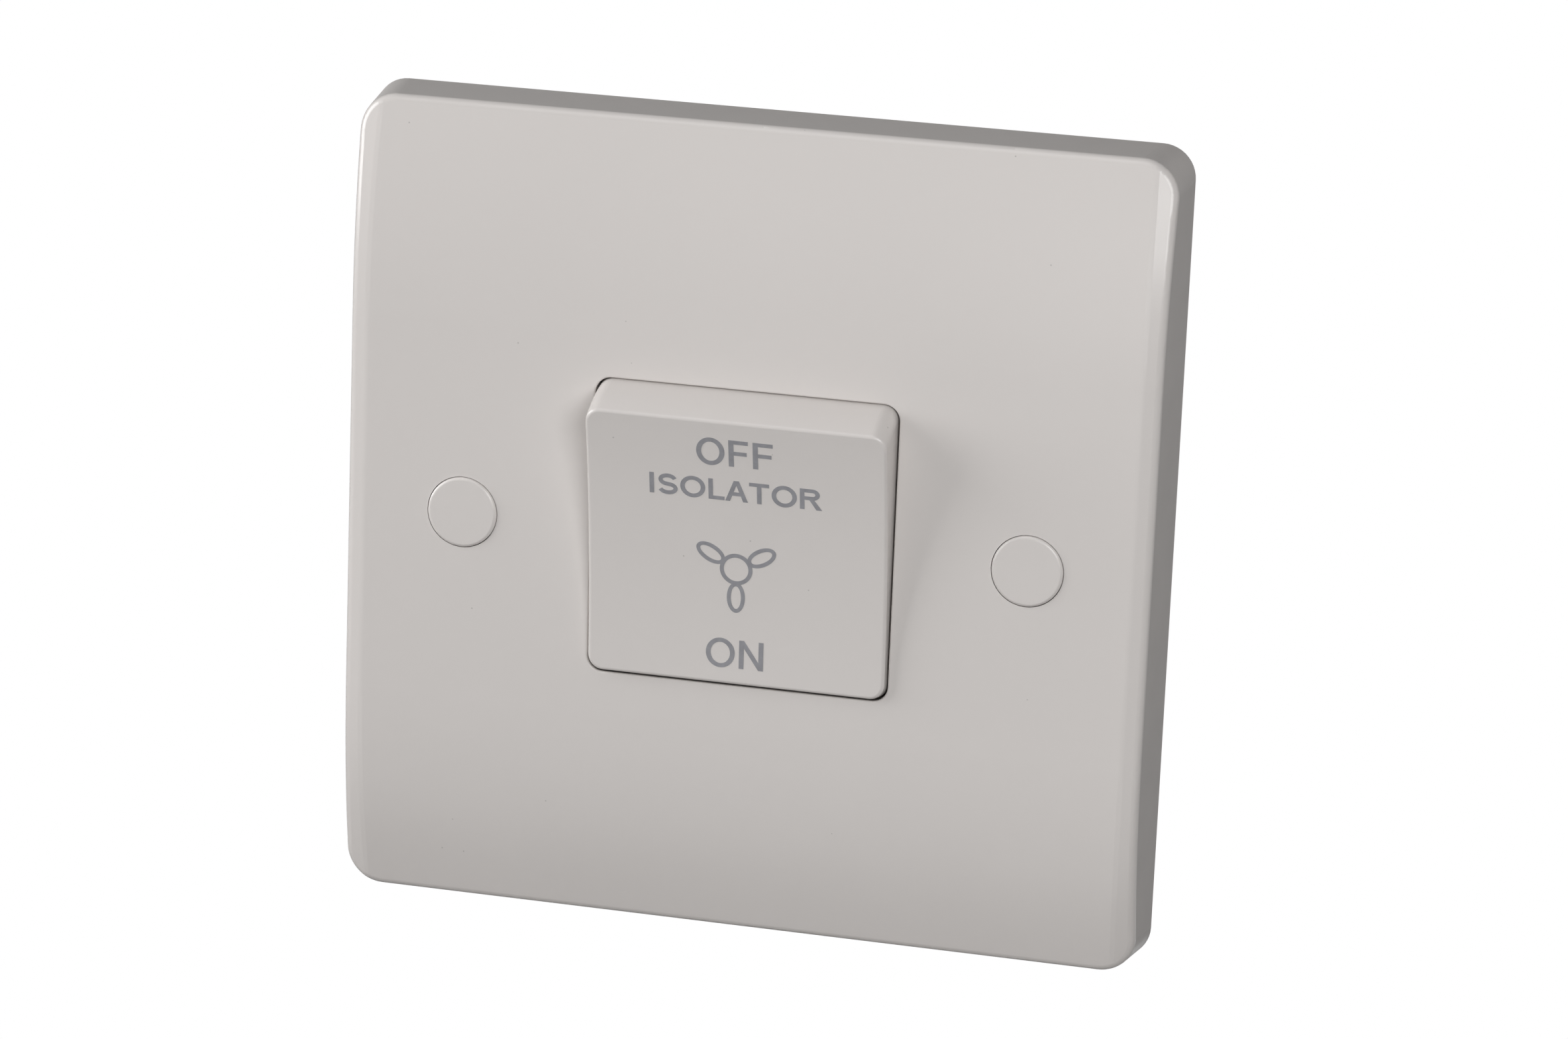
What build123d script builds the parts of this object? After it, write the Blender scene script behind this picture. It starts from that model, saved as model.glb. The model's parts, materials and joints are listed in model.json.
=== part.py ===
from build123d import *
from math import cos, hypot, radians, sin, sqrt, tan
import os

# Three-pole fan isolator switch for a one-gang wall box. Millimetres and degrees.
# Origin: centre of the plate's back rim, in the wall plane. X is to the right seen from the
# front, Y goes into the wall, so the front faces -Y, and Z is up.
# Rest pose: switched on, the rocker's lower half pressed in.

# Front plate
PLATE_SIZE = 87.0
PLATE_DEPTH = 9.6
PLATE_DRAFT = 4.0
PLATE_BACK_CORNER_R = 3.5
PLATE_FRONT_CORNER_R = 4.2
PLATE_EDGE_R = 0.9
CROWN_FLAT = 41.0
CROWN_R = 90.0
MARGIN_W = 2.5
MARGIN_LEAN = 12.0
MARGIN_BLEND = 2.5
FRONT_WALL = 2.6
SIDE_WALL = 2.4
RIB_WIDTH = 1.2
RIB_HEIGHT = 2.4
RIB_SPACING = 24.0

# Rocker opening and the collar behind it
OPENING_W = 32.26
OPENING_H = 31.63
OPENING_RISE = 0.15
OPENING_CORNER_R = 1.7
OPENING_EDGE_R = 0.2
OPENING_LIP = 0.4
COLLAR_WALL = 1.6
COLLAR_CORNER_R = 1.5

# Wall fixing, and the caps over it
FIXING_CENTRES = 60.3
FIXING_HOLE_R = 2.1
PILLAR_WALL = 1.4
SCREW_SEAT_DEPTH = 5.0
CAP_R = 3.75
CAP_FIT = 0.07
CAP_PROUD = 0.25
CAP_TOP = 1.2
CAP_SKIRT_WALL = 0.8
CAP_SKIRT_LENGTH = 2.0
CAP_SLOT_W = 1.4
CAP_EDGE_R = 0.35

# Rocker
PIVOT_DEPTH = 4.0
ROCKER_TILT = 8.0
ROCKER_FACE = 6.8
ROCKER_DISH = 0.91
ROCKER_RISE = 0.2
ROCKER_SIDE_GAP = 0.23
ROCKER_END_GAP = 0.09
ROCKER_RELIEF = 0.3
ROCKER_WALL = 1.6
ROCKER_FACE_WALL = 1.8
ROCKER_SKIRT = 3.0
ROCKER_CORNER_R = 1.6
ROCKER_EDGE_R = 0.35
TRUNNION_R = 1.3
TRUNNION_FIT = 0.05
TRUNNION_END_GAP = 0.15

# Plungers and springs
PLUNGER_R = 1.55
PLUNGER_FIT = 0.05
PLUNGER_REACH = 10.0
PLUNGER_TAIL = 2.0
SPIGOT_R = 0.75
SPIGOT_LENGTH = 1.5
TUBE_WALL = 0.8
TUBE_REACH = 4.5
TUBE_ROOF = 0.4
SPRING_WIRE_R = 0.22
SPRING_FIT = 0.2
SPRING_TURNS = 5
SPRING_SEAT_GAP = 0.03

# See-saw contact arms
ARM_THICKNESS = 0.9
ARM_WIDTH = 5.6
ARM_BEND = 14.0
ARM_SWING = 10.0
ARM_BARREL_R = 1.2
ARM_PIVOT_BACK = 1.3
ARM_UPPER = 11.4
ARM_LOWER = 6.5
ARM_END_R = 1.5
ARM_FIT = 0.05
PLUNGER_GAP = 0.1

# Contact rivets
CONTACT_REACH = 9.2
CONTACT_R = 1.6
CONTACT_RIM = 0.6
CONTACT_DOME = 0.3
CONTACT_GAP = 0.05
FIXED_CONTACT_R = 1.9
FIXED_CONTACT_HEAD = 0.8
FIXED_CONTACT_CHAMFER = 0.2
RIVET_R = 0.7
RIVET_FIT = 0.03
RIVET_TAIL_R = 1.1
RIVET_TAIL = 0.35

# Straps and terminal blocks
STRAP_THICKNESS = 1.0
STRAP_WIDTH = 5.0
STRAP_OVERHANG = 0.7
SADDLE_WALL = 0.9
SADDLE_RISE = 0.3
TERMINAL_INNER = 16.0
TERMINAL_W = 8.4
TERMINAL_D = 8.5
TERMINAL_L = 8.0
TERMINAL_CHAMFER = 0.4
TERMINAL_FIT = 0.05
WIRE_R = 2.2
WIRE_DEPTH = 6.5
WIRE_FRONT_WALL = 1.6

# Terminal screws, backed out to leave the wire holes open
CLAMP_R = 1.45
CLAMP_FIT = 0.05
CLAMP_LENGTH = 5.2
CLAMP_CLEAR = 0.15
CLAMP_HEAD_R = 2.5
CLAMP_HEAD = 1.8
SLOT_W = 0.8
SLOT_DEPTH = 0.9
HEAD_EDGE_R = 0.6

# Rear housing
FLOOR_DEPTH = 13.5
HOUSING_BACK = 1.8
HOUSING_SIDE = 2.0
HOUSING_END_LIP = 0.5
HOUSING_CORNER_R = 1.5
BARRIER = 1.6
POCKET_ROOF = 1.85
CHAMBER_END_GAP = 0.4
LEDGE_GAP = 0.5
TURRET_HOLE_R = 2.9
TURRET_WALL = 1.3
TURRET_HEIGHT = 3.3
POST_FIT = 0.1

# Housing screws
EAR_THICKNESS = 2.5
EAR_R = 3.3
EAR_HOLE_R = 1.6
EAR_SPACING = 22.0
BOSS_R = 2.9
TAPPING_R = 1.4
TAPPING_FIT = 0.05
TAPPING_LENGTH = 7.5
TAPPING_HEAD_R = 2.7
TAPPING_HEAD = 1.9
BOSS_HOLE_SPARE = 0.6

# Worked-out places
POLES = 3
OVERSHOOT = 1.0
EDGE_SEEK = 0.01
WALL_SEEK = 0.5
RIM_SEEK_Y = -0.6 * PLATE_DEPTH
PIVOT_Y = PIVOT_DEPTH - PLATE_DEPTH
INNER_FACE_Y = FRONT_WALL - PLATE_DEPTH
MARGIN_X = PLATE_SIZE / 2 - MARGIN_W
ROCKER_HALF_W = OPENING_W / 2 - ROCKER_SIDE_GAP
OPENING_TOP = OPENING_H / 2 + OPENING_RISE
ROCKER_R = hypot(OPENING_TOP - ROCKER_RISE - ROCKER_END_GAP, PIVOT_DEPTH - OPENING_LIP)
WELL_R = ROCKER_R + ROCKER_RELIEF
COLLAR_HALF_W = OPENING_W / 2 + COLLAR_WALL
COLLAR_HALF_H = WELL_R + COLLAR_WALL
FIXING_X = FIXING_CENTRES / 2
CAP_HOLE_R = CAP_R + CAP_FIT
PILLAR_R = CAP_HOLE_R + PILLAR_WALL
EAR_X = (COLLAR_HALF_W + FIXING_X - PILLAR_R) / 2
EAR_Z = EAR_SPACING / 2
POLE_PITCH = (COLLAR_HALF_W - HOUSING_SIDE + BARRIER / 2) / (POLES / 2)
POLE_XS = [(k - (POLES - 1) / 2) * POLE_PITCH for k in range(POLES)]
CHAMBER_HALF_W = (POLE_PITCH - BARRIER) / 2
FACE_HALF_H = sqrt(ROCKER_R**2 - ROCKER_FACE**2)
DISH_R = (FACE_HALF_H**2 + ROCKER_DISH**2) / (2 * ROCKER_DISH)
FACE_INSIDE_Y = ROCKER_DISH + ROCKER_FACE_WALL - ROCKER_FACE
TUBE_R = PLUNGER_R + PLUNGER_FIT + TUBE_WALL
TUBE_BLIND_Y = FACE_INSIDE_Y + TUBE_ROOF
SPRING_R = PLUNGER_R + PLUNGER_FIT - SPRING_FIT - SPRING_WIRE_R
NOSE_Y = PIVOT_Y + PLUNGER_REACH - PLUNGER_R
VALLEY_Y = NOSE_Y + (PLUNGER_R + PLUNGER_GAP) / cos(radians(ARM_BEND))
ARM_PIVOT_Y = VALLEY_Y + ARM_PIVOT_BACK
TERMINAL_FRONT_Y = FLOOR_DEPTH - TERMINAL_D
TERMINAL_OUTER = TERMINAL_INNER + TERMINAL_L
WIRE_Y = TERMINAL_FRONT_Y + WIRE_FRONT_WALL + WIRE_R
CLAMP_Z = TERMINAL_OUTER - WIRE_DEPTH / 2
CLAMP_TIP_Y = WIRE_Y + WIRE_R + CLAMP_CLEAR
HOUSING_REAR_Y = FLOOR_DEPTH + HOUSING_BACK
HOUSING_HALF_H = TERMINAL_OUTER + HOUSING_END_LIP
HOUSING_STEP_Y = TERMINAL_FRONT_Y - TERMINAL_FIT - POCKET_ROOF

# Moving contact: the dome's centre in the arm's frame, then with the arm swung closed
DOME_R = (CONTACT_R**2 + CONTACT_DOME**2) / (2 * CONTACT_DOME)
SEAT_Z = CONTACT_REACH * cos(radians(ARM_BEND)) + ARM_THICKNESS * sin(radians(ARM_BEND))
SEAT_Y = (
    ARM_THICKNESS * cos(radians(ARM_BEND))
    - CONTACT_REACH * sin(radians(ARM_BEND))
    - ARM_PIVOT_BACK
)
DOME_OFFSET = CONTACT_RIM + CONTACT_DOME - DOME_R
DOME_Y = SEAT_Y + DOME_OFFSET * cos(radians(ARM_BEND))
DOME_Z = SEAT_Z + DOME_OFFSET * sin(radians(ARM_BEND))
CLOSED_Y = DOME_Y * cos(radians(ARM_SWING)) + DOME_Z * sin(radians(ARM_SWING))
CLOSED_Z = DOME_Z * cos(radians(ARM_SWING)) - DOME_Y * sin(radians(ARM_SWING))
FIXED_FACE_Y = ARM_PIVOT_Y + CLOSED_Y + DOME_R + CONTACT_GAP
LOAD_STRAP_Y = FIXED_FACE_Y + FIXED_CONTACT_HEAD

ROCKER_PLACE = Pos(0, PIVOT_Y, 0) * Rot(X=ROCKER_TILT)


def slab(x, y, z):
    """Box between a low and a high value on each axis."""
    spans = (x, y, z)
    middle = [(low + high) / 2 for low, high in spans]
    return Pos(*middle) * Box(*[high - low for low, high in spans])


def both(half):
    """Low and high value of a span centred on zero."""
    return (-half, half)


def bar_x(radius, x, y=0, z=0):
    """Round bar along X."""
    return Pos((x[0] + x[1]) / 2, y, z) * Rot(Y=90) * Cylinder(radius, x[1] - x[0])


def bar_y(radius, y, x=0, z=0):
    """Round bar along Y."""
    return Pos(x, (y[0] + y[1]) / 2, z) * Rot(X=90) * Cylinder(radius, y[1] - y[0])


def bar_z(radius, z, x=0, y=0):
    """Round bar along Z."""
    return Pos(x, y, (z[0] + z[1]) / 2) * Cylinder(radius, z[1] - z[0])


def drafted_block(inset):
    """Square block with drafted sides and rounded corners, the plate's depth, inset from its sides."""
    size = PLATE_SIZE - 2 * inset
    front_size = size - 2 * PLATE_DEPTH * tan(radians(PLATE_DRAFT))
    back = Plane.XZ * RectangleRounded(size, size, PLATE_BACK_CORNER_R - inset)
    front = RectangleRounded(front_size, front_size, PLATE_FRONT_CORNER_R - inset)
    return loft([back, Plane.XZ.offset(PLATE_DEPTH) * front], ruled=True)


def corner_places(x, z):
    """The four places at plus and minus x and z."""
    return [(sx * x, sz * z) for sx in (-1, 1) for sz in (-1, 1)]


def front_face(solid):
    """The face nearest the front."""
    return solid.faces().sort_by(Axis.Y)[0]


def behind_face(depth):
    """Space behind a face at a depth in the plate, flat in the middle, curved back above and below."""
    x = both(PLATE_SIZE)
    front_y = depth - PLATE_DEPTH
    space = slab(x, (front_y, front_y + CROWN_R), both(CROWN_FLAT / 2))
    for side in (-1, 1):
        space += bar_x(CROWN_R, x, front_y + CROWN_R, side * CROWN_FLAT / 2)
    return space


def plate_outside():
    """The plate without its hollow: drafted sides, curved face, leaning margins, rounded edge."""
    outer = drafted_block(0) & behind_face(0)
    for side in (-1, 1):
        hinge = Pos(side * MARGIN_X, -PLATE_DEPTH, 0)
        outer &= hinge * Rot(Z=side * MARGIN_LEAN) * hinge.inverse() * behind_face(0)
    creases = outer.edges().filter_by(lambda e: abs(abs(e.center().X) - MARGIN_X) < EDGE_SEEK)
    outer = fillet(creases, MARGIN_BLEND)
    walls = outer.faces().filter_by(lambda f: abs(f.normal_at().Y) < WALL_SEEK)
    rim = walls.edges().filter_by(lambda e: e.center().Y < RIM_SEEK_Y)
    return fillet(rim, PLATE_EDGE_R)


def plate_shell(outer):
    """The plate's skin: its outside, hollowed from the back to an even front wall."""
    return outer - (drafted_block(SIDE_WALL) & behind_face(FRONT_WALL))


def plate_ribs():
    """Stiffening ribs on the back of the front wall, out to the middle of the side walls."""
    y = (INNER_FACE_Y - FRONT_WALL / 2, INNER_FACE_Y + RIB_HEIGHT)
    reach = both((PLATE_SIZE - SIDE_WALL) / 2 - PLATE_DEPTH * sin(radians(PLATE_DRAFT)))
    ribs = slab(reach, y, both(RIB_WIDTH / 2))
    for side in (-1, 1):
        x = side * RIB_SPACING / 2
        ribs += slab((x - RIB_WIDTH / 2, x + RIB_WIDTH / 2), y, reach)
    return ribs


def rocker_well():
    """Space for the rocker: the opening, and behind its lip an arc-walled well."""
    mouth = Plane.XZ.offset(-INNER_FACE_Y - OVERSHOOT)
    mouth *= Pos(0, OPENING_RISE) * RectangleRounded(OPENING_W, OPENING_H, OPENING_CORNER_R)
    well = bar_x(WELL_R, both(OPENING_W / 2), PIVOT_Y, ROCKER_RISE)
    well &= slab(both(PLATE_SIZE), (OPENING_LIP - PLATE_DEPTH, OVERSHOOT), both(PLATE_SIZE))
    straight_z = (ROCKER_RISE - WELL_R, ROCKER_RISE + WELL_R)
    straight = slab(both(OPENING_W / 2), (PIVOT_Y, OVERSHOOT), straight_z)
    return well + straight + extrude(mouth, FRONT_WALL + 2 * OVERSHOOT)


def trunnion_notches():
    """Notches through the collar's sides, open to the rear, for the rocker's pins."""
    radius = TRUNNION_R + TRUNNION_FIT
    x = both(COLLAR_HALF_W)
    return bar_x(radius, x, PIVOT_Y) + slab(x, (PIVOT_Y, OVERSHOOT), both(radius))


def fixing_hole(x):
    """Screw hole, head chamber and cap recess, from the back to the front."""
    chamber = bar_y(CAP_HOLE_R, (-PLATE_DEPTH - OVERSHOOT, SCREW_SEAT_DEPTH - PLATE_DEPTH), x)
    return chamber + bar_y(FIXING_HOLE_R, (-PLATE_DEPTH, OVERSHOOT), x)


def front_plate():
    """Moulded plate with collar, pillars, bosses and ribs in one piece."""
    root_y = INNER_FACE_Y - FRONT_WALL / 2
    collar = Plane.XZ * RectangleRounded(2 * COLLAR_HALF_W, 2 * COLLAR_HALF_H, COLLAR_CORNER_R)
    outer = plate_outside()
    plate = plate_shell(outer) + extrude(collar, -root_y) + (plate_ribs() & outer)
    for side in (-1, 1):
        plate += bar_y(PILLAR_R, (root_y, 0), side * FIXING_X)
    for x, z in corner_places(EAR_X, EAR_Z):
        plate += bar_y(BOSS_R, (root_y, 0), x, z)
    plate -= rocker_well() + trunnion_notches()
    for side in (-1, 1):
        plate -= fixing_hole(side * FIXING_X)
    hole_y = (EAR_THICKNESS - TAPPING_LENGTH - BOSS_HOLE_SPARE, OVERSHOOT)
    for x, z in corner_places(EAR_X, EAR_Z):
        plate -= bar_y(TAPPING_R + TAPPING_FIT, hole_y, x, z)
    front_edges = plate.edges().group_by(Axis.Y)[0]
    opening = front_edges.filter_by(lambda e: hypot(e.center().X, e.center().Z) < COLLAR_HALF_H)
    return fillet(opening.filter_by(lambda e: abs(e.center().X) < COLLAR_HALF_W), OPENING_EDGE_R)


def screw_cap():
    """Push-in cover: a disc with a softened edge on a slotted skirt."""
    top_y = (-PLATE_DEPTH - CAP_PROUD, CAP_TOP - PLATE_DEPTH)
    disc = bar_y(CAP_R, top_y)
    disc = fillet(disc.edges().group_by(Axis.Y)[0], CAP_EDGE_R)
    skirt_y = (top_y[1], top_y[1] + CAP_SKIRT_LENGTH)
    skirt = bar_y(CAP_R, skirt_y) - bar_y(CAP_R - CAP_SKIRT_WALL, skirt_y)
    for x, z in ((CAP_R, CAP_SLOT_W / 2), (CAP_SLOT_W / 2, CAP_R)):
        skirt -= slab(both(x), skirt_y, both(z))
    return disc + skirt


def rocker_section(end_r, dish_r, rear):
    """Side view of the rocker, or of its hollow, about the pivot axis: arc ends, dished face."""
    depth = ROCKER_FACE + rear
    section = Circle(end_r) & Pos(rear - depth / 2, 0) * Rectangle(depth, 2 * end_r)
    return Plane.YZ * (section - Pos(ROCKER_DISH - ROCKER_FACE - DISH_R, 0) * Circle(dish_r))


def rocker_shell():
    """Rocker's body, level, open underneath, its arc ends about the X axis."""
    body = extrude(rocker_section(ROCKER_R, DISH_R, ROCKER_SKIRT), ROCKER_HALF_W, both=True)
    end_arcs = body.edges().filter_by(GeomType.CIRCLE).filter_by(lambda e: e.radius < DISH_R)
    body = fillet(end_arcs, ROCKER_CORNER_R)
    body = fillet(front_face(body).edges(), ROCKER_EDGE_R)
    hollow = rocker_section(
        ROCKER_R - ROCKER_WALL, DISH_R + ROCKER_FACE_WALL, ROCKER_SKIRT + OVERSHOOT
    )
    return body - extrude(hollow, ROCKER_HALF_W - ROCKER_WALL, both=True)


def rocker():
    """Moulded rocker about its pivot axis: body, pivot pins, plunger tubes and cross rib."""
    body = Pos(0, 0, ROCKER_RISE) * rocker_shell()
    root_y = FACE_INSIDE_Y - ROCKER_FACE_WALL / 2
    wall_x = ROCKER_HALF_W - ROCKER_WALL / 2
    body += slab(both(wall_x), (root_y, FACE_INSIDE_Y + RIB_HEIGHT), both(RIB_WIDTH / 2))
    pin_x = COLLAR_HALF_W - TRUNNION_END_GAP
    for span in ((-pin_x, -wall_x), (wall_x, pin_x)):
        body += bar_x(TRUNNION_R, span)
    for x in POLE_XS:
        body += bar_y(TUBE_R, (root_y, TUBE_REACH), x)
    for x in POLE_XS:
        body -= bar_y(PLUNGER_R + PLUNGER_FIT, (TUBE_BLIND_Y, TUBE_REACH + OVERSHOOT), x)
    return body


def plunger():
    """Round-nosed plunger with a spigot for its spring, along Y from the pivot axis."""
    nose_y = PLUNGER_REACH - PLUNGER_R
    stem = bar_y(PLUNGER_R, (PLUNGER_TAIL, nose_y))
    spigot = bar_y(SPIGOT_R, (PLUNGER_TAIL - SPIGOT_LENGTH, PLUNGER_TAIL))
    return stem + spigot + Pos(0, nose_y, 0) * Sphere(PLUNGER_R)


def plunger_spring():
    """Coil spring between the tube's blind end and the plunger, along Y."""
    end_gap = SPRING_WIRE_R + SPRING_SEAT_GAP
    start_y = TUBE_BLIND_Y + end_gap
    height = PLUNGER_TAIL - end_gap - start_y
    path = Helix(
        pitch=height / SPRING_TURNS,
        height=height,
        radius=SPRING_R,
        center=(0, start_y, 0),
        direction=(0, 1, 0),
    )
    wire = Plane(origin=path @ 0, z_dir=path % 0) * Circle(SPRING_WIRE_R)
    return sweep(wire, path=path, is_frenet=True)


def contact_plane():
    """Seat of the moving contact on the arm's back face, facing the fixed contact."""
    bend = radians(ARM_BEND)
    return Plane(origin=(0, SEAT_Y, SEAT_Z), x_dir=(1, 0, 0), z_dir=(0, cos(bend), sin(bend)))


def contact_arm():
    """See-saw arm about its pivot axis, level: a strip bent to a shallow V, and a round barrel."""
    bend = radians(ARM_BEND)
    along = Vector(-sin(bend), cos(bend))
    back = Vector(cos(bend), sin(bend)) * ARM_THICKNESS
    valley = Vector(-ARM_PIVOT_BACK, 0)
    upper = valley + along * ARM_UPPER
    lower = valley + Vector(along.X, -along.Y) * ARM_LOWER
    strip = make_face(
        Polyline(
            valley,
            upper,
            upper + back,
            valley + Vector(ARM_THICKNESS / cos(bend), 0),
            lower + Vector(back.X, -back.Y),
            lower,
            close=True,
        )
    )
    arm = extrude(Plane.YZ * strip, ARM_WIDTH / 2, both=True)
    corners = arm.edges().filter_by(lambda e: abs(e.length - ARM_THICKNESS) < ARM_FIT)
    arm = fillet(corners, ARM_END_R)
    arm += bar_x(ARM_BARREL_R, both(ARM_WIDTH / 2))
    return arm - contact_plane() * Cylinder(RIVET_R + RIVET_FIT, 2 * ARM_THICKNESS + OVERSHOOT)


def rivet_shank(grip):
    """Shank and tail of a contact rivet, below its seat at z = 0."""
    shank = bar_z(RIVET_R, (-grip, 0))
    return shank + bar_z(RIVET_TAIL_R, (-grip - RIVET_TAIL, -grip))


def moving_contact():
    """Domed contact rivet in the arm's frame."""
    rim = bar_z(CONTACT_R, (0, CONTACT_RIM))
    ball = Pos(0, 0, DOME_OFFSET) * Sphere(DOME_R)
    dome = ball & bar_z(CONTACT_R, (0, CONTACT_RIM + CONTACT_DOME))
    return contact_plane() * (rim + dome + rivet_shank(ARM_THICKNESS))


def fixed_contact():
    """Flat contact rivet on the load strap, facing the moving contact."""
    head = chamfer(
        bar_z(FIXED_CONTACT_R, (0, FIXED_CONTACT_HEAD)).edges().group_by(Axis.Z)[-1],
        FIXED_CONTACT_CHAMFER,
    )
    seat = Plane(origin=(0, LOAD_STRAP_Y, CLOSED_Z), x_dir=(1, 0, 0), z_dir=(0, -1, 0))
    return seat * (head + rivet_shank(STRAP_THICKNESS))


def terminal_block():
    """Brass block of the upper row with a blind wire hole and a tapped clamp hole."""
    block = slab(
        both(TERMINAL_W / 2), (TERMINAL_FRONT_Y, FLOOR_DEPTH), (TERMINAL_INNER, TERMINAL_OUTER)
    )
    block = chamfer(block.edges().filter_by(Axis.Z), TERMINAL_CHAMFER)
    block -= bar_z(WIRE_R, (TERMINAL_OUTER - WIRE_DEPTH, TERMINAL_OUTER + OVERSHOOT), y=WIRE_Y)
    return block - bar_y(CLAMP_R + CLAMP_FIT, (WIRE_Y, FLOOR_DEPTH + OVERSHOOT), z=CLAMP_Z)


def load_terminal():
    """Outgoing terminal: block and the strap that carries the fixed contact."""
    end_z = CLOSED_Z - FIXED_CONTACT_R - STRAP_OVERHANG
    strap = slab(
        both(STRAP_WIDTH / 2),
        (LOAD_STRAP_Y, LOAD_STRAP_Y + STRAP_THICKNESS),
        (end_z, TERMINAL_INNER + STRAP_THICKNESS),
    )
    hole_y = (LOAD_STRAP_Y - OVERSHOOT, LOAD_STRAP_Y + STRAP_THICKNESS + OVERSHOOT)
    strap -= bar_y(RIVET_R + RIVET_FIT, hole_y, z=CLOSED_Z)
    return terminal_block() + strap


def feed_terminal():
    """Supply terminal: block, floor strap and the saddle that the arm rocks in."""
    groove_r = ARM_BARREL_R + ARM_FIT
    saddle_half = groove_r + SADDLE_WALL
    strap = slab(
        both(STRAP_WIDTH / 2),
        (FLOOR_DEPTH - STRAP_THICKNESS, FLOOR_DEPTH),
        (-TERMINAL_INNER - STRAP_THICKNESS, saddle_half),
    )
    saddle = slab(
        both(STRAP_WIDTH / 2), (ARM_PIVOT_Y + SADDLE_RISE, FLOOR_DEPTH), both(saddle_half)
    )
    saddle -= bar_x(groove_r, both(STRAP_WIDTH), ARM_PIVOT_Y)
    return mirror(terminal_block(), Plane.XY) + strap + saddle


def screw(radius, length, head_r, head):
    """Slotted screw along +Y: the tip at y = 0, the head at the far end."""
    top = length + head
    cap = bar_y(head_r, (length, top))
    cap = fillet(cap.edges().group_by(Axis.Y)[-1], HEAD_EDGE_R)
    cap -= slab(both(head_r + OVERSHOOT), (top - SLOT_DEPTH, top + OVERSHOOT), both(SLOT_W / 2))
    return bar_y(radius, (0, length)) + cap


def terminal_screws():
    """The six clamp screws, open."""
    clamp = screw(CLAMP_R, CLAMP_LENGTH, CLAMP_HEAD_R, CLAMP_HEAD)
    return [Pos(x, CLAMP_TIP_Y, side * CLAMP_Z) * clamp for x in POLE_XS for side in (-1, 1)]


def housing_screws():
    """The four screws that hold the housing to the plate's bosses."""
    tapping = screw(TAPPING_R, TAPPING_LENGTH, TAPPING_HEAD_R, TAPPING_HEAD)
    tip_y = EAR_THICKNESS - TAPPING_LENGTH
    return [Pos(x, tip_y, z) * tapping for x, z in corner_places(EAR_X, EAR_Z)]


def housing_outside():
    """Housing without its chambers: stepped body, ears and screw turrets."""
    body = slab(both(COLLAR_HALF_W), (0, HOUSING_REAR_Y), both(COLLAR_HALF_H))
    body += slab(both(COLLAR_HALF_W), (HOUSING_STEP_Y, HOUSING_REAR_Y), both(HOUSING_HALF_H))
    upright = body.edges().filter_by(Axis.Y)
    body = fillet(upright.filter_by(lambda e: abs(e.center().Z) > TERMINAL_INNER), HOUSING_CORNER_R)
    ear_y = (0, EAR_THICKNESS)
    for x, z in corner_places(EAR_X, EAR_Z):
        body += slab(sorted((0, x)), ear_y, (z - EAR_R, z + EAR_R))
        body += bar_y(EAR_R, ear_y, x, z)
    for x in POLE_XS:
        for side in (-1, 1):
            turret_y = (FLOOR_DEPTH, HOUSING_REAR_Y + TURRET_HEIGHT)
            body += bar_y(TURRET_HOLE_R + TURRET_WALL, turret_y, x, side * CLAMP_Z)
    return body


def pole_cavity():
    """Chamber of one pole with its two terminal pockets and screw holes."""
    chamber_half_h = TERMINAL_INNER - CHAMBER_END_GAP
    chamber_y = (-OVERSHOOT, FLOOR_DEPTH)
    cavity = slab(both(CHAMBER_HALF_W), chamber_y, both(chamber_half_h))
    pocket_y = (TERMINAL_FRONT_Y - TERMINAL_FIT, FLOOR_DEPTH)
    cavity += slab(
        both(TERMINAL_W / 2 + TERMINAL_FIT), pocket_y, both(HOUSING_HALF_H + OVERSHOOT)
    )
    hole_y = (FLOOR_DEPTH, HOUSING_REAR_Y + TURRET_HEIGHT + OVERSHOOT)
    for side in (-1, 1):
        cavity += bar_y(TURRET_HOLE_R, hole_y, z=side * CLAMP_Z)
    return cavity


def contact_ledges():
    """Two ledges on a chamber's floor under the edges of the load strap."""
    y = (LOAD_STRAP_Y + STRAP_THICKNESS, FLOOR_DEPTH + HOUSING_BACK / 2)
    z = (CLOSED_Z - FIXED_CONTACT_R - STRAP_OVERHANG, TERMINAL_INNER - CHAMBER_END_GAP)
    inner = RIVET_TAIL_R + LEDGE_GAP
    outer = CHAMBER_HALF_W + BARRIER / 2
    return slab((inner, outer), y, z) + slab((-outer, -inner), y, z)


def pin_posts():
    """Posts that close the collar's notches behind the rocker's pins."""
    groove = bar_x(TRUNNION_R + TRUNNION_FIT, both(COLLAR_HALF_W + OVERSHOOT), PIVOT_Y)
    x = (OPENING_W / 2 + POST_FIT, COLLAR_HALF_W - POST_FIT)
    half_z = TRUNNION_R - POST_FIT
    posts = slab(x, (PIVOT_Y, EAR_THICKNESS), both(half_z))
    posts += slab((-x[1], -x[0]), (PIVOT_Y, EAR_THICKNESS), both(half_z))
    return posts - groove


def rear_housing():
    """Moulded base of the switch, open to the rocker, with three chambers."""
    housing = housing_outside()
    for x in POLE_XS:
        housing -= Pos(x, 0, 0) * pole_cavity()
        housing += Pos(x, 0, 0) * contact_ledges()
    for x, z in corner_places(EAR_X, EAR_Z):
        housing -= bar_y(EAR_HOLE_R, (-OVERSHOOT, EAR_THICKNESS + OVERSHOOT), x, z)
    return housing + pin_posts()


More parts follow.
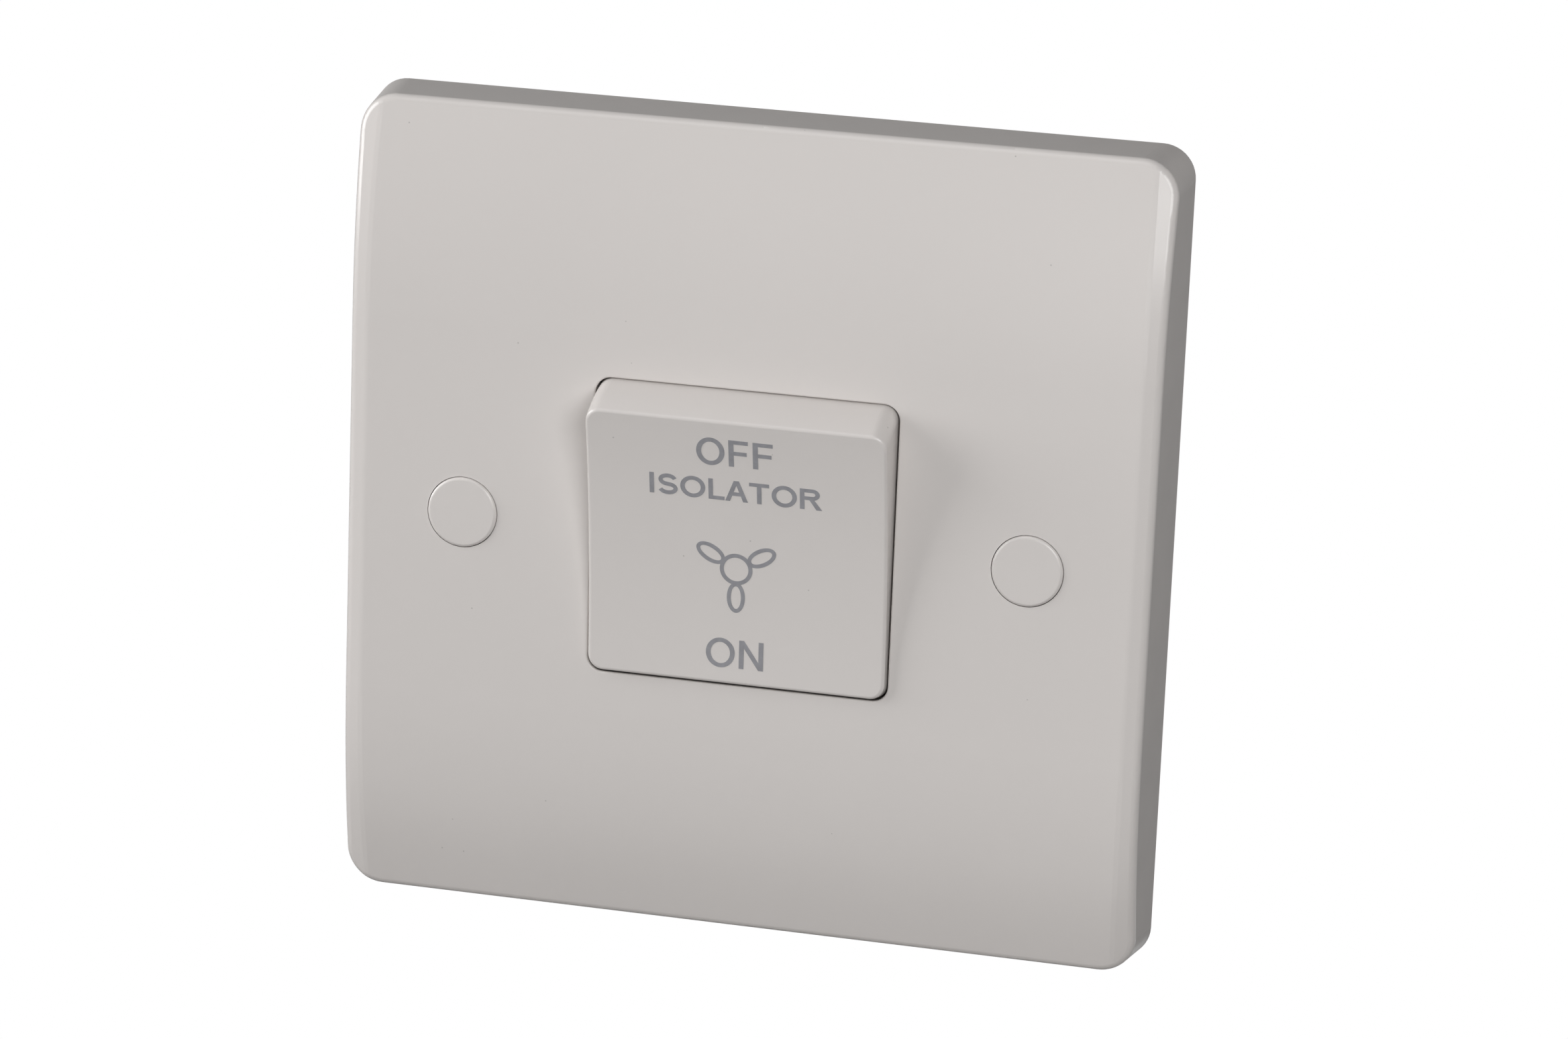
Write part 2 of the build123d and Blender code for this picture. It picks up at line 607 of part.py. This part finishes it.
def pieces():
    """Every piece of the switch by name, in its place at rest."""
    named = {"front_plate": front_plate(), "rear_housing": rear_housing()}
    cap = screw_cap()
    named["screw_cap_left"] = Pos(-FIXING_X, 0, 0) * cap
    named["screw_cap_right"] = Pos(FIXING_X, 0, 0) * cap
    named["rocker"] = ROCKER_PLACE * rocker()
    for number, x in enumerate(POLE_XS, start=1):
        in_tube = ROCKER_PLACE * Pos(x, 0, 0)
        on_saddle = Pos(x, ARM_PIVOT_Y, 0) * Rot(X=-ARM_SWING)
        named[f"plunger_{number}"] = in_tube * plunger()
        named[f"plunger_spring_{number}"] = in_tube * plunger_spring()
        named[f"contact_arm_{number}"] = on_saddle * contact_arm()
        named[f"moving_contact_{number}"] = on_saddle * moving_contact()
        named[f"fixed_contact_{number}"] = Pos(x, 0, 0) * fixed_contact()
        named[f"feed_terminal_{number}"] = Pos(x, 0, 0) * feed_terminal()
        named[f"load_terminal_{number}"] = Pos(x, 0, 0) * load_terminal()
    named["terminal_screws"] = Compound(children=terminal_screws())
    named["housing_screws"] = Compound(children=housing_screws())
    return named


os.makedirs("parts", exist_ok=True)
for name, piece in pieces().items():
    export_step(piece, f"parts/{name}.step")
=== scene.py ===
import json
from math import atan2, cos, degrees, pi, radians, sin

import bpy
from mathutils import Euler, Matrix, Vector
from mathutils.bvhtree import BVHTree


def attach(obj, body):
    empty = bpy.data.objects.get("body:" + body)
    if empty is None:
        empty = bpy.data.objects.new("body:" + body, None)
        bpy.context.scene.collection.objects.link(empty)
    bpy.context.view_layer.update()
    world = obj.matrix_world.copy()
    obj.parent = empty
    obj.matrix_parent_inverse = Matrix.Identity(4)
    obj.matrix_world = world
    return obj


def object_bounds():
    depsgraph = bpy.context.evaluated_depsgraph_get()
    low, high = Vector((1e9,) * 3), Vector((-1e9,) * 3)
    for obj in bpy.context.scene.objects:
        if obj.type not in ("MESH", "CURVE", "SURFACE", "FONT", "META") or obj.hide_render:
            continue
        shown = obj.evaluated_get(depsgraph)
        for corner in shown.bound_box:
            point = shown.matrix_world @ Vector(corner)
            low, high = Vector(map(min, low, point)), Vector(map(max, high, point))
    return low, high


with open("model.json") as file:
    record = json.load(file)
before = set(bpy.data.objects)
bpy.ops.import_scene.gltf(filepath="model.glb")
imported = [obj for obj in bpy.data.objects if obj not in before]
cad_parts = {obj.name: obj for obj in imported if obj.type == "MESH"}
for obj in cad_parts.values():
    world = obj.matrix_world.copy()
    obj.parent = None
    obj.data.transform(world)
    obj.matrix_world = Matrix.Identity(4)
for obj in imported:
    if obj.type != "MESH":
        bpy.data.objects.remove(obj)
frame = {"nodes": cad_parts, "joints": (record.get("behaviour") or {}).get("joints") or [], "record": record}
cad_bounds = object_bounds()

# Fan isolator switch. Metres and degrees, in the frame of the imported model: the front faces -Y.
MM = 0.001

# Camera of the photograph, fitted to the plate's edges, the caps and the rocker
CAMERA_PLACE = (0.12982, -0.52668, 0.14789)
CAMERA_TURN = (74.735, -2.208, 14.232)
CAMERA_LENS = 123.084
CAMERA_NEAR = 0.01
SENSOR_WIDTH = 36.0

# White lamps: place, width, height and watts
LAMPS = {
    "left": ((-0.54, -0.16, 0.16), 0.35, 0.35, 2.9),
    "right": ((0.26, -0.42, 0.16), 0.25, 0.25, 1.5),
    "top": ((-0.05, -0.22, 0.42), 0.25, 0.25, 0.26),
    "strip": ((0.02, -0.55, 0.02), 0.05, 0.22, 0.16),
    "back": ((-0.30, 0.90, -0.25), 0.6, 0.6, 7.0),
    "back_right": ((0.35, 0.60, -0.15), 0.4, 0.4, 0.4),
}
AMBIENT = (0.005, 0.005, 0.005)

# Pale floor, below the switch by its drop
FLOOR_DROP = 0.30
FLOOR_X = (-0.8, 0.8)
FLOOR_Y = (-0.8, 0.8)
FLOOR_GREY = (0.5, 0.495, 0.49)
FLOOR_PALER = 1.06
FLOOR_WEAR_SCALE = 30.0
FLOOR_ROUGHNESS = 0.8

# Grey cards, as a studio sets up for a white object: only reflections see them.
# One stands behind the switch; the other lies below it and reaches a little to the front.
CARD_GREY = (0.12, 0.12, 0.12)
CARD_X = (-0.7, 0.7)
CARD_BEHIND_Y = 0.30
CARD_BEHIND_Z = (-0.19, 0.43)
CARD_BELOW_Z = -0.22
CARD_BELOW_Y = (-0.26, 0.30)

# Plastics: dust specks with their cells a metre, radius and shade, clouding and uneven gloss
SPECK_CELLS = 260.0
SPECK_R = 0.11 * MM
SPECK_SHADE = 0.72
CLOUD_SCALE = 40.0
CLOUD_SHADE = 0.985
GLOSS_SCALE = 160.0
GLOSS_SPREAD = 0.03

# Metals: tarnish and streaks
TARNISH_SCALE = 260.0
TARNISH_SHADE = 0.72
STREAK_SCALE = 1500.0

# Ink: a film that is thin and pale in places
INK_FILM_SCALE = 1400.0
INK_THIN = 1.16
INK_FILM_BUMP = 0.004 * MM
INK_ROUGH_SCALE = 2500.0
INK_ROUGH = (0.34, 0.46)

# Print on the rocker, in millimetres on its face, from the face's middle. The slope is the rise
# of the lines to the right. Stems are the upright strokes of letters and bars the level ones.
INK_HEIGHT = 0.02
PRINT_SLOPE = -0.008
CURVE_POINTS = 48
OFF_STEM = 0.54
OFF_BAR = 0.44
ON_STEM = 0.513
ON_BAR = 0.418
SMALL_STEM = 0.48
SMALL_BAR = 0.41
FAN_CENTRE = (-0.03, -1.79)
FAN_HUB_R = 1.74
FAN_LINE = 0.43
FAN_BLADE_AT = 3.13
FAN_BLADE_LONG = 1.68
FAN_BLADE_WIDE = 0.97


def new_material(name):
    """Empty node material, its node tree and its Principled shader."""
    material = bpy.data.materials.new(name)
    material.use_nodes = True
    tree = material.node_tree
    return material, tree, tree.nodes["Principled BSDF"]


def place_coordinates(tree, stretch=(1, 1, 1)):
    """Object coordinates, which are metres in the shared frame, stretched along the axes."""
    source = tree.nodes.new("ShaderNodeTexCoord")
    mapping = tree.nodes.new("ShaderNodeMapping")
    mapping.inputs["Scale"].default_value = stretch
    tree.links.new(source.outputs["Object"], mapping.inputs["Vector"])
    return mapping.outputs["Vector"]


def noise(tree, vector, scale, detail=3.0, roughness=0.55):
    """Noise texture's value output."""
    node = tree.nodes.new("ShaderNodeTexNoise")
    node.inputs["Scale"].default_value = scale
    node.inputs["Detail"].default_value = detail
    node.inputs["Roughness"].default_value = roughness
    tree.links.new(vector, node.inputs["Vector"])
    return node.outputs["Fac"]


def spread(tree, value, low, high, start=0.3, end=0.7):
    """Value mapped from start..end to low..high."""
    node = tree.nodes.new("ShaderNodeMapRange")
    node.inputs["From Min"].default_value = start
    node.inputs["From Max"].default_value = end
    node.inputs["To Min"].default_value = low
    node.inputs["To Max"].default_value = high
    tree.links.new(value, node.inputs["Value"])
    return node.outputs["Result"]


def blend_colours(tree, factor, first, second):
    """Colour between first and second; second may be another node's output."""
    node = tree.nodes.new("ShaderNodeMix")
    node.data_type = "RGBA"
    tree.links.new(factor, node.inputs["Factor"])
    for socket, colour in ((node.inputs[6], first), (node.inputs[7], second)):
        if isinstance(colour, tuple):
            socket.default_value = (*colour, 1.0)
        else:
            tree.links.new(colour, socket)
    return node.outputs[2]


def bump(tree, shader, height, distance, strength=1.0):
    """Bump of a height given in metres for a change of one in the texture."""
    node = tree.nodes.new("ShaderNodeBump")
    node.inputs["Strength"].default_value = strength
    node.inputs["Distance"].default_value = distance
    tree.links.new(height, node.inputs["Height"])
    tree.links.new(node.outputs["Normal"], shader.inputs["Normal"])


def dots(tree, vector, cells, radius):
    """One in the middle of sparse round dots, and zero between them."""
    node = tree.nodes.new("ShaderNodeTexVoronoi")
    node.inputs["Scale"].default_value = cells
    tree.links.new(vector, node.inputs["Vector"])
    return spread(tree, node.outputs["Distance"], 1.0, 0.0, 0.5 * radius * cells, radius * cells)


def moulded_plastic(name, colour, gloss, grain, grain_height):
    """Moulded plastic: faint clouding, dust specks, uneven gloss and a fine skin."""
    material, tree, shader = new_material(name)
    here = place_coordinates(tree)
    cloud = spread(tree, noise(tree, here, CLOUD_SCALE), 0.0, 1.0)
    shade = tuple(CLOUD_SHADE * part for part in colour)
    clouded = blend_colours(tree, cloud, colour, shade)
    dust = dots(tree, here, SPECK_CELLS, SPECK_R)
    speck_colour = tuple(SPECK_SHADE * part for part in colour)
    mixed = blend_colours(tree, dust, clouded, speck_colour)
    tree.links.new(mixed, shader.inputs["Base Color"])
    uneven = spread(tree, noise(tree, here, GLOSS_SCALE), gloss - GLOSS_SPREAD, gloss + GLOSS_SPREAD)
    tree.links.new(uneven, shader.inputs["Roughness"])
    bump(tree, shader, noise(tree, here, grain, 2.0), grain_height)
    return material


def worked_metal(name, colour, stretch, gloss, streak_height):
    """Metal with drawn or turned streaks along one axis and a little tarnish."""
    material, tree, shader = new_material(name)
    shader.inputs["Metallic"].default_value = 1.0
    here = place_coordinates(tree)
    along = place_coordinates(tree, stretch)
    dull = tuple(TARNISH_SHADE * part for part in colour)
    tarnish = spread(tree, noise(tree, here, TARNISH_SCALE, 4.0), 0.0, 1.0, 0.45, 0.75)
    tree.links.new(blend_colours(tree, tarnish, colour, dull), shader.inputs["Base Color"])
    streaks = noise(tree, along, STREAK_SCALE, 3.0)
    tree.links.new(spread(tree, streaks, gloss - 0.07, gloss + 0.12), shader.inputs["Roughness"])
    bump(tree, shader, streaks, streak_height)
    return material


def printed_ink(name, colour):
    """Pad-printed ink: an uneven film, a little rough."""
    material, tree, shader = new_material(name)
    here = place_coordinates(tree)
    thin = tuple(INK_THIN * part for part in colour)
    film = spread(tree, noise(tree, here, INK_FILM_SCALE, 2.0), 0.0, 1.0)
    tree.links.new(blend_colours(tree, film, colour, thin), shader.inputs["Base Color"])
    rough = spread(tree, noise(tree, here, INK_ROUGH_SCALE), *INK_ROUGH)
    tree.links.new(rough, shader.inputs["Roughness"])
    bump(tree, shader, film, INK_FILM_BUMP)
    return material


MATERIALS = {
    "white_moulding": moulded_plastic(
        "glossy_white_moulding", (0.665, 0.632, 0.611), 0.24, 1400.0, 0.0008 * MM
    ),
    "base_moulding": moulded_plastic(
        "satin_base_moulding", (0.60, 0.575, 0.55), 0.46, 2600.0, 0.006 * MM
    ),
    "plunger_nylon": moulded_plastic(
        "natural_nylon", (0.72, 0.71, 0.67), 0.40, 2200.0, 0.003 * MM
    ),
    "terminal_brass": worked_metal(
        "drawn_brass", (0.72, 0.52, 0.22), (1, 1, 0.06), 0.30, 0.004 * MM
    ),
    "contact_copper": worked_metal(
        "rolled_copper", (0.72, 0.40, 0.25), (1, 1, 0.05), 0.28, 0.003 * MM
    ),
    "contact_silver": worked_metal(
        "silver_alloy", (0.80, 0.79, 0.76), (1, 0.3, 1), 0.30, 0.002 * MM
    ),
    "spring_steel": worked_metal(
        "spring_wire", (0.50, 0.50, 0.51), (0.2, 1, 1), 0.26, 0.002 * MM
    ),
    "screw_steel": worked_metal(
        "zinc_plating", (0.66, 0.65, 0.61), (1, 0.1, 1), 0.30, 0.003 * MM
    ),
}
INK = printed_ink("grey_ink", (0.245, 0.245, 0.262))


def dress_nodes():
    """Each CAD node takes the material of its slot, with smooth shading kept from the frame."""
    for row in frame["record"]["subparts"]:
        node = frame["nodes"][row["node"]]
        node.data.materials.clear()
        node.data.materials.append(MATERIALS[row["material_slot"]])


def oval(centre, half_w, half_h):
    """Points of an ellipse, anticlockwise from its right end."""
    points = []
    for k in range(CURVE_POINTS):
        angle = 2 * pi * k / CURVE_POINTS
        points.append((centre[0] + half_w * cos(angle), centre[1] + half_h * sin(angle)))
    return points


def turned(points, angle, centre):
    """Points turned anticlockwise about the origin by an angle in degrees, then moved to a centre."""
    c = cos(radians(angle))
    s = sin(radians(angle))
    return [(centre[0] + x * c - y * s, centre[1] + x * s + y * c) for x, y in points]


def arc(centre, half_w, half_h, start, end, count=CURVE_POINTS // 2):
    """Points of part of an ellipse between two angles in degrees."""
    points = []
    for k in range(count + 1):
        angle = radians(start + (end - start) * k / count)
        points.append((centre[0] + half_w * cos(angle), centre[1] + half_h * sin(angle)))
    return points


def stroke(line, width):
    """Outline of a line of even width."""
    left = []
    right = []
    for k, (x, y) in enumerate(line):
        before = line[max(k - 1, 0)]
        after = line[min(k + 1, len(line) - 1)]
        along = Vector((after[0] - before[0], after[1] - before[1])).normalized() * width / 2
        left.append((x - along.y, y + along.x))
        right.append((x + along.y, y - along.x))
    return left + right[::-1]


def ring(centre, half_w, half_h, side, top):
    """Outer and inner outline of an oval ring, with its thickness at the sides and at the top."""
    return [oval(centre, half_w, half_h), oval(centre, half_w - side, half_h - top)]


# Letters: outlines in a box of width w and height h, with their stroke widths
def letter_i(w, h, stem, bar):
    return [[(0, 0), (w, 0), (w, h), (0, h)]]


def letter_l(w, h, stem, bar):
    return [[(0, 0), (w, 0), (w, bar), (stem, bar), (stem, h), (0, h)]]


def letter_t(w, h, stem, bar):
    left = (w - stem) / 2
    right = (w + stem) / 2
    under = h - bar
    return [
        [
            (left, 0), (right, 0), (right, under), (w, under),
            (w, h), (0, h), (0, under), (left, under),
        ]
    ]


def letter_f(w, h, stem, bar):
    arm = 0.93 * w
    low = 0.43 * h
    return [
        [
            (0, 0), (stem, 0), (stem, low), (arm, low), (arm, low + bar), (stem, low + bar),
            (stem, h - bar), (w, h - bar), (w, h), (0, h),
        ]
    ]


def letter_n(w, h, stem, bar):
    slant = 1.6 * stem
    return [
        [
            (0, 0), (stem, 0), (stem, h - slant), (w - stem, 0), (w, 0),
            (w, h), (w - stem, h), (w - stem, slant), (stem, h), (0, h),
        ]
    ]


def letter_a(w, h, stem, bar):
    top = 1.15 * stem
    foot = 1.05 * stem
    low = 0.27 * h
    middle = w / 2

    def inside(y):
        """Half width between the legs' inner sides at a height."""
        peak = h - 1.25 * bar
        return (middle - foot) * (1 - y / peak)

    return [
        [
            (0, 0), (foot, 0), (middle - inside(low), low), (middle + inside(low), low),
            (w - foot, 0), (w, 0), (middle + top / 2, h), (middle - top / 2, h),
        ],
        [
            (middle - inside(low + bar), low + bar), (middle + inside(low + bar), low + bar),
            (middle, h - 1.25 * bar),
        ],
    ]


def letter_o(w, h, stem, bar):
    overshoot = 0.025 * h
    return ring((w / 2, h / 2), w / 2, h / 2 + overshoot, stem, bar + overshoot / 2)


def letter_r(w, h, stem, bar):
    bowl_low = 0.46 * h
    radius = (h - bowl_low) / 2
    middle = (h + bowl_low) / 2
    bend = 0.90 * w - 1.2 * radius
    leg = 0.50 * w
    outer = [(0, 0), (stem, 0), (stem, bowl_low), (leg - 0.35 * stem, bowl_low)]
    outer += [(w - 1.25 * stem, 0), (w, 0), (leg + 0.75 * stem, bowl_low)]
    outer += arc((bend, middle), 1.2 * radius, radius, -75, 90) + [(0, h)]
    hole = [(stem, bowl_low + bar)]
    hole += arc((bend, middle), 1.2 * radius - stem, radius - bar, -90, 90) + [(stem, h - bar)]
    return [outer, hole]


def letter_s(w, h, stem, bar):
    half_w = (w - stem) / 2
    half_h = (h - bar) / 4
    middle = w / 2
    upper = (middle, h - bar / 2 - half_h)
    lower = (middle, bar / 2 + half_h)
    line = arc(upper, half_w * 0.93, half_h, 15, 245) + arc(lower, half_w, half_h, 65, -165)
    return [stroke(line, (stem + bar) / 2)]


# Words: base line, height, stem and bar, then each letter's shape, left end and width
WORDS = {
    "off_print": (
        9.78, 3.0, OFF_STEM, OFF_BAR,
        ((letter_o, -4.13, 3.0), (letter_f, -0.7, 2.06), (letter_f, 1.86, 2.12)),
    ),
    "isolator_print": (
        5.85, 2.32, SMALL_STEM, SMALL_BAR,
        (
            (letter_i, -9.19, SMALL_STEM), (letter_s, -8.3, 2.12), (letter_o, -5.92, 2.66),
            (letter_l, -2.92, 1.7), (letter_a, -1.15, 2.4), (letter_t, 1.4, 2.12),
            (letter_o, 3.77, 2.66), (letter_r, 6.75, 2.34),
        ),
    ),
    "on_print": (
        -12.67, 3.08, ON_STEM, ON_BAR,
        ((letter_o, -3.13, 3.1), (letter_n, 0.42, 2.6)),
    ),
}


def word_outlines(base, height, stem, bar, letters):
    """Closed outlines of a word on the level face, in millimetres."""
    outlines = []
    for shape, left, width in letters:
        for outline in shape(width, height, stem, bar):
            outlines.append([(x + left, y + base) for x, y in outline])
    return outlines


def fan_outlines():
    """One outline round the hub and its three oval blades, and the holes in them."""
    blade_middle = (FAN_BLADE_AT, 0)
    whole = oval(blade_middle, FAN_BLADE_LONG, FAN_BLADE_WIDE)
    near_end = CURVE_POINTS // 2
    blade = [p for p in whole[near_end:] + whole[:near_end] if Vector(p).length > FAN_HUB_R]
    foot = degrees(atan2(blade[-1][1], blade[-1][0]))
    third = blade + arc((0, 0), FAN_HUB_R, FAN_HUB_R, foot, 120 - foot)[1:-1]
    blade_hole = oval(blade_middle, FAN_BLADE_LONG - FAN_LINE, FAN_BLADE_WIDE - FAN_LINE)
    outer = []
    holes = [oval(FAN_CENTRE, FAN_HUB_R - FAN_LINE, FAN_HUB_R - FAN_LINE)]
    for angle in (30, 150, 270):
        outer += turned(third, angle, FAN_CENTRE)
        holes.append(turned(blade_hole, angle, FAN_CENTRE))
    return [outer] + holes


class RockerFace:
    """The rocker's front face at rest: where a point of the level face lies on the CAD solid."""

    def __init__(self):
        joint = next(j for j in frame["joints"] if j["name"] == "rocker_tilt")
        half_swing = radians(joint["range_deg"][1] / 2)
        pivot = Matrix.Translation(joint["pos_m"])
        self.turn = Matrix.Rotation(-half_swing, 4, Vector(joint["axis"]))
        self.place = pivot @ self.turn @ pivot.inverted()
        mesh = frame["nodes"]["rocker"].data
        mesh.calc_loop_triangles()
        corners = [v.co.copy() for v in mesh.vertices]
        self.tree = BVHTree.FromPolygons(corners, [t.vertices for t in mesh.loop_triangles])

    def point(self, x, z, height):
        """Point at a height over the face, from level face coordinates in metres."""
        start = self.place @ Vector((x, cad_bounds[0][1] * 2, z))
        inward = self.turn.to_3x3() @ Vector((0, 1, 0))
        hit = self.tree.ray_cast(start, inward)[0]
        return hit - inward * height


def print_piece(name, outlines, face):
    """Ink shape on the rocker: a thin flat solid laid over the face."""
    curve = bpy.data.curves.new(name + "_lines", "CURVE")
    curve.dimensions = "2D"
    curve.fill_mode = "BOTH"
    curve.extrude = INK_HEIGHT * MM
    for outline in outlines:
        spline = curve.splines.new("POLY")
        spline.points.add(len(outline) - 1)
        for point, (x, y) in zip(spline.points, outline):
            point.co = (x * MM, (y + PRINT_SLOPE * x) * MM, 0, 1)
        spline.use_cyclic_u = True
    lines = bpy.data.objects.new(name + "_lines", curve)
    mesh = bpy.data.meshes.new_from_object(lines)
    for vertex in mesh.vertices:
        vertex.co = face.point(vertex.co.x, vertex.co.y, vertex.co.z)
    bpy.data.objects.remove(lines)
    piece = bpy.data.objects.new(name, mesh)
    piece.data.materials.clear()
    piece.data.materials.append(INK)
    bpy.context.scene.collection.objects.link(piece)
    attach(piece, "rocker")
    return piece


def add_print():
    """Words and fan sign on the rocker."""
    face = RockerFace()
    for name, word in WORDS.items():
        print_piece(name, word_outlines(*word), face)
    print_piece("fan_sign", fan_outlines(), face)


def add_lamp(name, place, width, height, watts):
    """Rectangular area lamp that faces the origin."""
    lamp = bpy.data.lights.new(name, "AREA")
    lamp.shape = "RECTANGLE"
    lamp.size = width
    lamp.size_y = height
    lamp.energy = watts
    holder = bpy.data.objects.new(name, lamp)
    holder.location = place
    holder.rotation_euler = (-Vector(place)).to_track_quat("-Z", "Y").to_euler()
    bpy.context.scene.collection.objects.link(holder)


def seen_as_white(tree, plain, out):
    """Camera, glossy and transmission rays see white; other rays see the plain shader."""
    path = tree.nodes.new("ShaderNodeLightPath")
    add = tree.nodes.new("ShaderNodeMath")
    add.operation = "ADD"
    tree.links.new(path.outputs["Is Camera Ray"], add.inputs[0])
    tree.links.new(path.outputs["Is Glossy Ray"], add.inputs[1])
    total = tree.nodes.new("ShaderNodeMath")
    total.operation = "ADD"
    total.use_clamp = True
    tree.links.new(add.outputs[0], total.inputs[0])
    tree.links.new(path.outputs["Is Transmission Ray"], total.inputs[1])
    on_object = out.type == "OUTPUT_MATERIAL"
    white = tree.nodes.new("ShaderNodeEmission" if on_object else "ShaderNodeBackground")
    white.inputs["Color"].default_value = (1, 1, 1, 1)
    mix = tree.nodes.new("ShaderNodeMixShader")
    tree.links.new(total.outputs[0], mix.inputs[0])
    tree.links.new(plain.outputs[0], mix.inputs[1])
    tree.links.new(white.outputs[0], mix.inputs[2])
    tree.links.new(mix.outputs[0], out.inputs["Surface"])


def add_sheet(name, corners, material):
    """Flat four-cornered stage object."""
    mesh = bpy.data.meshes.new(name)
    mesh.from_pydata(corners, [], [(0, 1, 2, 3)])
    mesh.materials.append(material)
    sheet = bpy.data.objects.new(name, mesh)
    bpy.context.scene.collection.objects.link(sheet)
    return sheet


def rectangle(first, second):
    """Corners of a rectangle from its extents along two axes."""
    (a, b), (c, d) = first, second
    return [(a, c), (b, c), (b, d), (a, d)]


def add_cards():
    """Grey cards that darken the reflections in the plate's walls and its lower edge."""
    material, _, shader = new_material("card_grey")
    shader.inputs["Base Color"].default_value = (0, 0, 0, 1)
    shader.inputs["Emission Color"].default_value = (*CARD_GREY, 1)
    shader.inputs["Emission Strength"].default_value = 1.0
    sheets = {
        "card_behind": [(x, CARD_BEHIND_Y, z) for x, z in rectangle(CARD_X, CARD_BEHIND_Z)],
        "card_below": [(x, y, CARD_BELOW_Z) for x, y in rectangle(CARD_X, CARD_BELOW_Y)],
    }
    for name, corners in sheets.items():
        card = add_sheet(name, corners, material)
        card.visible_camera = False
        card.visible_diffuse = False
        card.visible_shadow = False


def add_surroundings():
    """World that is seen as white and gives a little light."""
    world = bpy.data.worlds.new("studio")
    world.use_nodes = True
    bpy.context.scene.world = world
    sky = world.node_tree.nodes["Background"]
    sky.inputs["Color"].default_value = (*AMBIENT, 1)
    seen_as_white(world.node_tree, sky, world.node_tree.nodes["World Output"])


def add_floor():
    """Pale floor below the switch, seen as white."""
    material, tree, shader = new_material("pale_floor")
    shader.inputs["Roughness"].default_value = FLOOR_ROUGHNESS
    worn = spread(tree, noise(tree, place_coordinates(tree), FLOOR_WEAR_SCALE), 0.0, 1.0)
    paler = tuple(FLOOR_PALER * part for part in FLOOR_GREY)
    tree.links.new(blend_colours(tree, worn, FLOOR_GREY, paler), shader.inputs["Base Color"])
    seen_as_white(tree, shader, tree.nodes["Material Output"])
    level = cad_bounds[0][2] - FLOOR_DROP
    add_sheet("floor", [(x, y, level) for x, y in rectangle(FLOOR_X, FLOOR_Y)], material)


def add_camera():
    """Camera of the photograph."""
    camera = bpy.data.cameras.new("camera")
    camera.lens = CAMERA_LENS
    camera.sensor_width = SENSOR_WIDTH
    camera.clip_start = CAMERA_NEAR
    holder = bpy.data.objects.new("camera", camera)
    holder.location = CAMERA_PLACE
    holder.rotation_euler = Euler([radians(a) for a in CAMERA_TURN], "XYZ")
    bpy.context.scene.collection.objects.link(holder)
    bpy.context.scene.camera = holder


def set_stage():
    """White surroundings, floor, cards, lamps and camera."""
    add_surroundings()
    add_floor()
    add_cards()
    for name, setting in LAMPS.items():
        add_lamp(name, *setting)
    add_camera()
    bpy.context.scene.view_settings.view_transform = "Standard"


dress_nodes()
add_print()
set_stage()
